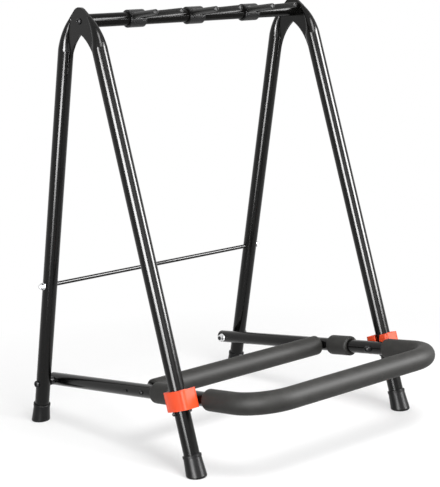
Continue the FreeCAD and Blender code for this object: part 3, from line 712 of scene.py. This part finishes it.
@dataclass
class WeldSeams:
    """Rippled weld beads where each gusset plate meets the two legs of its frame."""

    side_x: float = 250.0 * MM
    middle_y: float = 68.228 * MM
    toe_y: float = 248.0 * MM
    bend_height: float = 720.0 * MM
    bend_y: float = 52.9 * MM
    leg_radius: float = 14.0 * MM
    plate_half: float = 2.5 * MM
    low_height: float = 678.0 * MM
    high_height: float = 718.0 * MM
    bead_width: float = 2.2 * MM
    bead_height: float = 0.7 * MM
    ripple_pitch: float = 1.3 * MM
    ripple_subdivisions: int = 2

    def seam(self, side: float, end: float, face: float) -> tuple[Vector, Vector]:
        """Lower and upper end of one straight seam.

        Args:
            side: -1 for the left frame, 1 for the right.
            end: -1 for the front leg, 1 for the rear.
            face: -1 or 1 for the plate's face.

        Returns:
            Both ends of the seam.
        """
        slope = (self.toe_y - self.bend_y) / self.bend_height
        reach = math.sqrt(self.leg_radius ** 2 - self.plate_half ** 2) * math.sqrt(1 + slope ** 2)
        x = side * self.side_x + face * self.plate_half

        def at(height: float) -> Vector:
            """Point of the seam at a height."""
            return Vector((x, self.middle_y + end * (self.toe_y - slope * height - reach), height))
        return at(self.low_height), at(self.high_height)

    def tree(self) -> bpy.types.NodeTree:
        """Node tree that lays overlapping ripples along its input edges.

        Returns:
            The tree, with named inputs for the bead's sizes and material.
        """
        tree = bpy.data.node_groups.new("WeldBead", "GeometryNodeTree")
        inputs = {"Geometry": "NodeSocketGeometry", "Bead Width": "NodeSocketFloat",
                  "Bead Height": "NodeSocketFloat", "Ripple Pitch": "NodeSocketFloat",
                  "Material": "NodeSocketMaterial"}
        for label, kind in inputs.items():
            tree.interface.new_socket(label, in_out="INPUT", socket_type=kind)
        tree.interface.new_socket("Geometry", in_out="OUTPUT", socket_type="NodeSocketGeometry")
        pen = Pen(tree)
        entry = pen.add("NodeGroupInput").outputs
        line = pen.add("GeometryNodeMeshToCurve", {"Mesh": entry["Geometry"]})
        even = pen.add("GeometryNodeResampleCurve",
                       {"Curve": line.outputs[0], "Length": entry["Ripple Pitch"]}, mode="LENGTH")
        tangent = pen.add("GeometryNodeInputTangent").outputs[0]
        turn = pen.add("FunctionNodeAlignRotationToVector", {"Vector": tangent}, axis="Z")
        ball = pen.add("GeometryNodeMeshIcoSphere",
                       {"Radius": 1.0, "Subdivisions": self.ripple_subdivisions})
        size = pen.add("ShaderNodeCombineXYZ", {0: entry["Bead Height"],
                                                1: pen.math("MULTIPLY", entry["Bead Width"], 0.5),
                                                2: entry["Ripple Pitch"]})
        beads = pen.add("GeometryNodeInstanceOnPoints",
                        {"Points": even.outputs[0], "Instance": ball.outputs[0],
                         "Rotation": turn.outputs[0], "Scale": size.outputs[0]})
        whole = pen.add("GeometryNodeRealizeInstances", {"Geometry": beads.outputs[0]})
        smooth = pen.add("GeometryNodeSetShadeSmooth", {"Geometry": whole.outputs[0]})
        painted = pen.add("GeometryNodeSetMaterial", {"Geometry": smooth.outputs[0],
                                                      "Material": entry["Material"]})
        pen.add("NodeGroupOutput", {"Geometry": painted.outputs[0]})
        return tree

    def build(self, material: bpy.types.Material) -> bpy.types.Object:
        """Lay the beads and turn them into a plain mesh.

        Args:
            material: The paint over the beads.

        Returns:
            The bead mesh at the origin.
        """
        seams = [self.seam(side, end, face) for side in (-1, 1) for end in (-1, 1) for face in (-1, 1)]
        route = bpy.data.meshes.new("seam_lines")
        route.from_pydata([tuple(point) for seam in seams for point in seam],
                          [(2 * i, 2 * i + 1) for i in range(len(seams))], [])
        holder = bpy.data.objects.new("seam_lines", route)
        bpy.context.scene.collection.objects.link(holder)
        modifier = holder.modifiers.new("beads", "NODES")
        modifier.node_group = self.tree()
        values = {"Bead Width": self.bead_width, "Bead Height": self.bead_height,
                  "Ripple Pitch": self.ripple_pitch, "Material": material}
        for item in modifier.node_group.interface.items_tree:
            if item.in_out == "INPUT" and item.name in values:
                modifier[item.identifier] = values[item.name]
        holder.update_tag()
        made = bpy.data.meshes.new_from_object(holder.evaluated_get(bpy.context.evaluated_depsgraph_get()))
        bpy.data.objects.remove(holder)
        made.name = "gusset_welds"
        piece = bpy.data.objects.new("gusset_welds", made)
        bpy.context.scene.collection.objects.link(piece)
        return piece

    def dress(self, piece: bpy.types.Object) -> None:
        """Let the beads ride on the frame; their paint was set when they were built.

        Args:
            piece: The bead mesh.
        """
        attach(piece, Body.FRAME.value)
        log.info("weld beads %s: %d faces", piece.name, len(piece.data.polygons))


class Rays(Enum):
    """What a lamp is for: light and highlights together, or streaks on glossy paint alone."""

    ALL = "all"
    GLOSSY = "glossy"


@dataclass(frozen=True)
class Softbox:
    """A rectangular studio lamp that faces the object, never seen by the camera itself."""

    name: str
    place: Point
    width: float
    height: float
    radiance: float
    rays: Rays = Rays.ALL

    def build(self, target: Vector) -> None:
        """Set up the lamp; a lamp for streaks stands upright.

        Args:
            target: The point that it faces.
        """
        lamp = bpy.data.lights.new(self.name, "AREA")
        lamp.shape = "RECTANGLE"
        lamp.size = self.width
        lamp.size_y = self.height
        lamp.energy = self.radiance * math.pi * self.width * self.height
        made = bpy.data.objects.new(self.name, lamp)
        made.location = self.place
        facing = target - made.location
        if self.rays is Rays.GLOSSY:
            facing.z = 0.0
            made.visible_diffuse = False
        made.rotation_euler = facing.to_track_quat("-Z", "Y").to_euler()
        made.visible_camera = False
        bpy.context.scene.collection.objects.link(made)


@dataclass
class Studio:
    """Pale floor, white surroundings, soft lamps and the camera."""

    target: Vector
    fill: float = 0.58
    floor_half: float = 14.0
    floor_colour: Colour = (0.95, 0.95, 0.95)
    floor_glow: float = 0.48
    fade_start: float = 0.45
    fade_end: float = 1.05
    camera_place: Point = (-1.5380, -1.8796, 0.7514)
    camera_yaw: float = 38.843
    camera_pitch: float = 9.482
    camera_roll: float = -3.471
    focal_pixels: float = 1320.5
    sensor: float = 36.0
    softboxes: tuple[Softbox, ...] = (
        Softbox("key", (-0.35, -1.60, 2.30), 1.1, 1.1, 17.0),
        Softbox("front_fill", (-0.70, -2.20, 1.10), 1.2, 1.0, 2.0),
        Softbox("left_strip", (-1.90, -1.05, 0.97), 1.00, 0.90, 62.0, Rays.GLOSSY),
        Softbox("left_strip_low", (-1.90, -1.05, 0.32), 0.90, 0.38, 28.0, Rays.GLOSSY),
        Softbox("left_strip_in_floor", (-1.90, -1.05, -0.33), 0.95, 0.30, 58.0, Rays.GLOSSY),
        Softbox("left_strip_deep", (-1.90, -1.05, -0.57), 0.90, 0.18, 34.0, Rays.GLOSSY),
        Softbox("left_strip_faint", (-1.90, -1.05, -0.78), 0.85, 0.24, 13.0, Rays.GLOSSY),
        Softbox("right_strip", (1.52, -2.06, 1.38), 1.35, 1.35, 62.0, Rays.GLOSSY))

    def background_share(self, pen: Pen) -> bpy.types.NodeSocket:
        """Tell the rays that show a background from those that light the object.

        Args:
            pen: Pen on a world's or a material's tree.

        Returns:
            A share that is 1 for camera, glossy and transmission rays.
        """
        path = pen.add("ShaderNodeLightPath").outputs
        seen = pen.math("MAXIMUM", path["Is Camera Ray"], path["Is Glossy Ray"])
        return pen.math("MAXIMUM", seen, path["Is Transmission Ray"])

    def build_world(self) -> None:
        """White surroundings with a plain fill for the light that they cast."""
        world = bpy.data.worlds.new("white_studio")
        world.use_nodes = True
        world.node_tree.nodes.clear()
        pen = Pen(world.node_tree)
        strength = pen.ramp(self.background_share(pen), 0.0, 1.0, self.fill, 1.0)
        sky = pen.add("ShaderNodeBackground", {"Color": WHITE, "Strength": strength})
        pen.add("ShaderNodeOutputWorld", {"Surface": sky.outputs[0]})
        bpy.context.scene.world = world

    def build_floor(self) -> None:
        """Pale floor that keeps the shadows near the object and fades to white."""
        half = self.floor_half
        corners = [Vector((x * half, y * half, 0.0)) for x, y in ((-1, -1), (1, -1), (1, 1), (-1, 1))]
        floor = add_mesh("floor", corners, [(0, 1, 2, 3)])
        material = bpy.data.materials.new("pale_floor")
        material.use_nodes = True
        material.node_tree.nodes.clear()
        pen = Pen(material.node_tree)
        place = pen.add("ShaderNodeTexCoord").outputs["Object"]
        far = pen.add("ShaderNodeVectorMath", {0: place}, operation="LENGTH").outputs["Value"]
        white = pen.ramp(far, self.fade_start, self.fade_end, self.floor_glow, 1.0)
        share = pen.math("MULTIPLY", self.background_share(pen), white)
        matt = pen.add("ShaderNodeBsdfDiffuse", {"Color": (*self.floor_colour, 1.0)})
        glow = pen.add("ShaderNodeEmission", {"Color": WHITE, "Strength": 1.0})
        mixed = pen.add("ShaderNodeMixShader", {0: share, 1: matt.outputs[0], 2: glow.outputs[0]})
        pen.add("ShaderNodeOutputMaterial", {"Surface": mixed.outputs[0]})
        floor.data.materials.append(material)
        floor.visible_glossy = False
        floor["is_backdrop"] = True

    def build_camera(self) -> None:
        """Camera at the photograph's place and angle."""
        yaw, pitch, roll = map(math.radians, (self.camera_yaw, self.camera_pitch, self.camera_roll))
        ahead = Vector((math.sin(yaw) * math.cos(pitch), math.cos(yaw) * math.cos(pitch), -math.sin(pitch)))
        level = Vector((math.cos(yaw), -math.sin(yaw), 0.0))
        above = level.cross(ahead)
        right = level * math.cos(roll) + above * math.sin(roll)
        up = above * math.cos(roll) - level * math.sin(roll)
        lens = bpy.data.cameras.new("photo_camera")
        lens.sensor_width = self.sensor
        lens.lens = self.focal_pixels * self.sensor / max(IMAGE_WIDTH, IMAGE_HEIGHT)
        camera = bpy.data.objects.new("photo_camera", lens)
        turn = Matrix((right, up, -ahead)).transposed().to_4x4()
        camera.matrix_world = Matrix.Translation(self.camera_place) @ turn
        bpy.context.scene.collection.objects.link(camera)
        bpy.context.scene.camera = camera

    def build(self) -> None:
        """Set up the whole studio."""
        bpy.context.scene.view_settings.view_transform = "Standard"
        self.build_world()
        self.build_floor()
        for box in self.softboxes:
            box.build(self.target)
        self.build_camera()


def clear_startup_objects() -> None:
    """Remove what the start-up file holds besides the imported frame."""
    kept = {made.name for made in (*frame["nodes"].values(), *frame["bodies"].values())}
    for found in [made for made in bpy.data.objects if made.name not in kept]:
        bpy.data.objects.remove(found)


def dress_nodes(materials: dict[str, bpy.types.Material]) -> None:
    """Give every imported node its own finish, or else the finish of its slot.

    Args:
        materials: Finished materials by node name or slot name.
    """
    for subpart in frame["record"]["subparts"]:
        node = frame["nodes"][subpart["node"]]
        for holder in node.material_slots:
            holder.material = materials.get(subpart["node"], materials[subpart["material_slot"]])
        log.info("node %s: %s", subpart["node"], subpart["material_slot"])


def main() -> None:
    """Dress the stand and set up its studio."""
    logging.basicConfig(level=logging.INFO, format="%(name)s: %(message)s")
    clear_startup_objects()
    cad_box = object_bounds()
    effects = SharedEffects()
    materials = {finish.node or finish.slot.value: finish.material(effects) for finish in FINISHES}
    dress_nodes(materials)
    fold = next(joint for joint in frame["joints"] if joint["name"] == "tray_fold")
    foam = FoamSleeves(TrayFrame(Vector(fold["pos_m"])))
    foam.dress(foam.build(), materials[Slot.FOAM.value])
    welds = WeldSeams()
    welds.dress(welds.build(materials[Slot.FRAME_PAINT.value]))
    Studio(target=(cad_box[0] + cad_box[1]) / 2).build()


if __name__ == "__main__":
    main()
